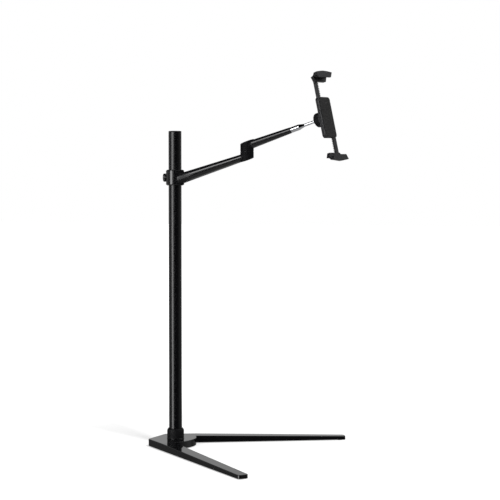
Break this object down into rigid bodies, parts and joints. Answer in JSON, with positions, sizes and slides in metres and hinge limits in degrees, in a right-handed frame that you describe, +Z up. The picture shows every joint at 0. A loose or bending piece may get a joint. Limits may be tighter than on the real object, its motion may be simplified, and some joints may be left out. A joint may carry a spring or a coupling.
{
  "type": "adjustable tablet floor stand",
  "caption": "Floor stand for a tablet: V-shaped weighted base, round pole, sliding clamp with a jointed arm, and a holder with sliding jaws on a ball joint.",
  "frame": {"origin": "on the floor, on the pole's axis, at the middle of the round foot under the hub", "axes": "+Z up along the pole; +X from the pole to where the base's legs open, which are alike on both sides of the XZ plane; the arm points 15 degrees from +X towards +Y"},
  "size_m": [0.5326, 0.6376, 1.0345],
  "materials": {
    "cast_base": "gloss black enamel",
    "pole_black": "satin black powder coat",
    "arm_black": "satin black powder coat on a casting",
    "moulding_black": "matt black moulding",
    "nylon_black": "plain black nylon",
    "rubber_black": "matt rubber",
    "chrome": "polished chrome",
    "steel": "zinc-plated steel",
    "black_steel": "black oxide steel",
    "jaw_grey": "fine-textured dark grey moulding"
  },
  "bodies": {
    "stand": {"base": "cast_base", "base_feet": "rubber_black", "hub_foot": "rubber_black", "base_bolt": "steel", "base_washer": "steel", "pole_insert": "steel", "pole": "pole_black", "foot_collar": "moulding_black", "pole_cap": "moulding_black"},
    "slider": {"clamp_liner": "nylon_black"},
    "lower_arm": {"lower_arm": "arm_black", "elbow_bush": "nylon_black", "elbow_disc": "nylon_black"},
    "clamp_pad": {"clamp_pad": "steel"},
    "clamp_knob": {"clamp_screw": "black_steel", "clamp_knob": "moulding_black"},
    "upper_arm": {"upper_arm": "arm_black", "elbow_bolt": "black_steel", "elbow_spring_washer": "steel"},
    "stud": {"ball_stud": "chrome"},
    "socket": {"ball_socket": "nylon_black"},
    "lock_nut": {"lock_nut": "moulding_black"},
    "holder": {"holder_back": "jaw_grey", "swivel_plate": "steel", "swivel_screws": "steel", "pinion_pin": "steel", "holder_front": "jaw_grey", "cover_screws": "black_steel", "holder_pad": "rubber_black"},
    "upper_jaw": {"upper_jaw": "jaw_grey", "upper_jaw_pad": "rubber_black"},
    "lower_jaw": {"lower_jaw": "jaw_grey", "lower_jaw_pad": "rubber_black"},
    "pinion": {"jaw_pinion": "nylon_black"},
    "lock_pad": {"jaw_lock_pad": "nylon_black"},
    "lock_knob": {"jaw_lock_screw": "black_steel", "jaw_lock_knob": "moulding_black"}
  },
  "joints": [
    {"name": "height_slide", "type": "slide", "parent": "stand", "child": "slider", "axis": [0, 0, 1], "range_m": [-0.66, 0.1]},
    {"name": "arm_swivel", "type": "hinge", "parent": "slider", "child": "lower_arm", "pos_m": [0, 0, 0.7487], "axis": [0, 0, 1], "continuous": true},
    {"name": "clamp_travel", "type": "slide", "parent": "lower_arm", "child": "clamp_pad", "axis": [-0.9659, -0.2588, 0], "range_m": [0, 0.00125]},
    {"name": "clamp_knob_turn", "type": "hinge", "parent": "clamp_pad", "child": "clamp_knob", "pos_m": [-0.02705, -0.00725, 0.7487], "axis": [-0.9659, -0.2588, 0], "range_deg": [0, 360]},
    {"name": "elbow_swivel", "type": "hinge", "parent": "lower_arm", "child": "upper_arm", "pos_m": [0.19801, 0.05306, 0.81943], "axis": [0, 0, 1], "range_deg": [-120, 120]},
    {"name": "stud_turn", "type": "hinge", "parent": "upper_arm", "child": "stud", "pos_m": [0.31586, 0.08463, 0.87595], "axis": [0.9135, 0.2448, 0.3249], "continuous": true},
    {"name": "holder_tilt", "type": "hinge", "parent": "stud", "child": "socket", "pos_m": [0.39214, 0.10507, 0.90308], "axis": [0.2741, 0.2199, -0.9362], "range_deg": [-70.5, 13.5]},
    {"name": "lock_nut_turn", "type": "hinge", "parent": "socket", "child": "lock_nut", "pos_m": [0.39214, 0.10507, 0.90308], "axis": [0.9462, -0.2359, 0.2215], "range_deg": [-180, 0]},
    {"name": "holder_turn", "type": "hinge", "parent": "socket", "child": "holder", "pos_m": [0.40822, 0.10106, 0.90684], "axis": [0.9462, -0.2359, 0.2215], "continuous": true},
    {"name": "jaw_opening", "type": "slide", "parent": "holder", "child": "upper_jaw", "axis": [-0.2229, 0.0214, 0.9746], "range_m": [-0.037, 0.008]},
    {"name": "lower_jaw_opening", "type": "slide", "parent": "holder", "child": "lower_jaw", "axis": [0.2229, -0.0214, -0.9746], "range_m": [-0.0375, 0.0085]},
    {"name": "pinion_turn", "type": "hinge", "parent": "holder", "child": "pinion", "pos_m": [0.4139, 0.09965, 0.90817], "axis": [0.9462, -0.2359, 0.2215], "range_deg": [-51.9, 236.5]},
    {"name": "lock_travel", "type": "slide", "parent": "holder", "child": "lock_pad", "axis": [-0.9462, 0.2359, -0.2215], "range_m": [0, 0.0008]},
    {"name": "lock_knob_turn", "type": "hinge", "parent": "lock_pad", "child": "lock_knob", "pos_m": [0.41615, 0.11594, 0.86626], "axis": [-0.9462, 0.2359, -0.2215], "range_deg": [0, 360]}
  ],
  "couplings": [
    {"joint": "clamp_travel", "follows": "clamp_knob_turn", "m_per_rad": 0.00019894},
    {"joint": "lower_jaw_opening", "follows": "jaw_opening", "ratio": 1},
    {"joint": "pinion_turn", "follows": "jaw_opening", "rad_per_m": -111.11},
    {"joint": "lock_travel", "follows": "lock_knob_turn", "m_per_rad": 0.00012732}
  ]
}
